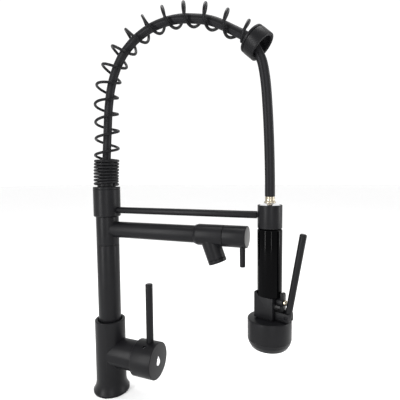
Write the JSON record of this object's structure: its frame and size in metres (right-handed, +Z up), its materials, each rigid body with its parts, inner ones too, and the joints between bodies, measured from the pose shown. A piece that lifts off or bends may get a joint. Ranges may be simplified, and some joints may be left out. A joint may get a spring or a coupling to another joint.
{
  "type": "pull-down kitchen faucet",
  "caption": "Pull-down kitchen faucet: side-lever mixer body, swivelling pot-filler spout with a valve, spring arch, docking arm and a spray handle with a trigger lever.",
  "frame": {"origin": "on the column's axis at deck level, where the base flange sits on the worktop", "axes": "+Z up along the column, +X along the spout and docking arm at rest, over the sink"},
  "size_m": [0.2862, 0.0506, 0.5441],
  "materials": {
    "satin_black": "satin",
    "gloss_black": "gloss",
    "grey_face": "satin",
    "bright_chrome": "polished",
    "pale_brass": "satin",
    "brushed_steel": "brushed",
    "black_rubber": "matte",
    "black_braid": "woven",
    "white_plastic": "matte",
    "grey_plastic": "matte"
  },
  "bodies": {
    "mixer": {"mixer_body": "satin_black", "base_gasket": "black_rubber", "threaded_shank": "pale_brass", "rubber_washer": "black_rubber", "steel_washer": "brushed_steel", "fixing_nut": "pale_brass", "hot_inlet": "pale_brass", "cold_inlet": "pale_brass", "cartridge_body": "white_plastic", "cartridge_nut": "pale_brass", "cartridge_dome": "bright_chrome", "column_tube": "satin_black", "swivel_core": "pale_brass", "o_ring_lower": "black_rubber", "o_ring_upper": "black_rubber", "hose_fitting": "pale_brass"},
    "temperature_turret": {"cartridge_turret": "grey_plastic"},
    "side_handle": {"cartridge_stem": "pale_brass", "handle_hub": "satin_black", "handle_lever": "satin_black", "handle_set_screw": "brushed_steel", "handle_badge": "bright_chrome"},
    "spout": {"spout_arm": "satin_black", "spout_valve_body": "satin_black", "valve_headwork": "pale_brass", "aerator_housing": "satin_black", "aerator_insert": "grey_plastic"},
    "spout_knob": {"valve_stem": "pale_brass", "valve_knob": "satin_black", "valve_lever": "satin_black", "valve_knob_cap": "grey_face"},
    "docking_arm": {"top_collar": "satin_black", "collar_screw": "brushed_steel", "docking_rod": "satin_black", "holder_cup": "satin_black", "spring_seat": "satin_black", "arch_spring": "satin_black", "hose_upper": "black_braid"},
    "hose_drop": {"spring_end_ring": "satin_black", "ring_liner": "satin_black", "hose_lower": "black_braid", "hose_ferrule": "pale_brass"},
    "spray": {"docking_nut": "bright_chrome", "handle_core": "pale_brass", "handle_sleeve": "gloss_black", "spray_valve_block": "satin_black", "valve_end_cap": "satin_black", "valve_bonnet": "satin_black", "trigger_pin": "satin_black", "spray_head_shell": "satin_black", "spray_face_plate": "grey_plastic", "spray_nozzle_pad": "black_rubber", "jet_insert": "grey_plastic"},
    "trigger": {"trigger_lever": "satin_black"},
    "plunger": {"trigger_plunger": "pale_brass"}
  },
  "joints": [
    {"name": "temperature_turn", "type": "hinge", "parent": "mixer", "child": "temperature_turret", "pos_m": [0.036, 0, 0.0542], "axis": [1, 0, 0], "range_deg": [-45, 45]},
    {"name": "flow_tilt", "type": "hinge", "parent": "temperature_turret", "child": "side_handle", "pos_m": [0.036, 0, 0.0542], "axis": [0, 1, 0], "range_deg": [0, 22]},
    {"name": "spout_swivel", "type": "hinge", "parent": "mixer", "child": "spout", "pos_m": [0, 0, 0.224], "axis": [0, 0, 1], "continuous": true},
    {"name": "spout_valve_turn", "type": "hinge", "parent": "spout", "child": "spout_knob", "pos_m": [0.18, 0, 0.224], "axis": [1, 0, 0], "range_deg": [0, 90]},
    {"name": "docking_arm_swivel", "type": "hinge", "parent": "mixer", "child": "docking_arm", "pos_m": [0, 0, 0.25], "axis": [0, 0, 1], "continuous": true},
    {"name": "pull_down", "type": "slide", "parent": "docking_arm", "child": "hose_drop", "axis": [0, 0, -1], "range_m": [0, 0.095], "stiffness_N_per_m": 110, "springref_m": -0.13, "deforming": ["arch_spring", "hose_upper"]},
    {"name": "spray_turn", "type": "hinge", "parent": "hose_drop", "child": "spray", "pos_m": [0.2195, 0, 0.25], "axis": [0, 0, 1], "range_deg": [-90, 90]},
    {"name": "trigger_squeeze", "type": "hinge", "parent": "spray", "child": "trigger", "pos_m": [0.24102, -0.00658, 0.1405], "axis": [0.2924, 0.9563, 0], "range_deg": [-8, 0], "stiffness_Nm_per_rad": 0.5, "springref_deg": 14.32},
    {"name": "plunger_push", "type": "slide", "parent": "spray", "child": "plunger", "axis": [0.9563, -0.2924, 0], "range_m": [-0.0021, 0], "stiffness_N_per_m": 60, "springref_m": 0.004}
  ],
  "couplings": [
    {"joint": "plunger_push", "follows": "trigger_squeeze", "m_per_rad": 0.0145}
  ]
}
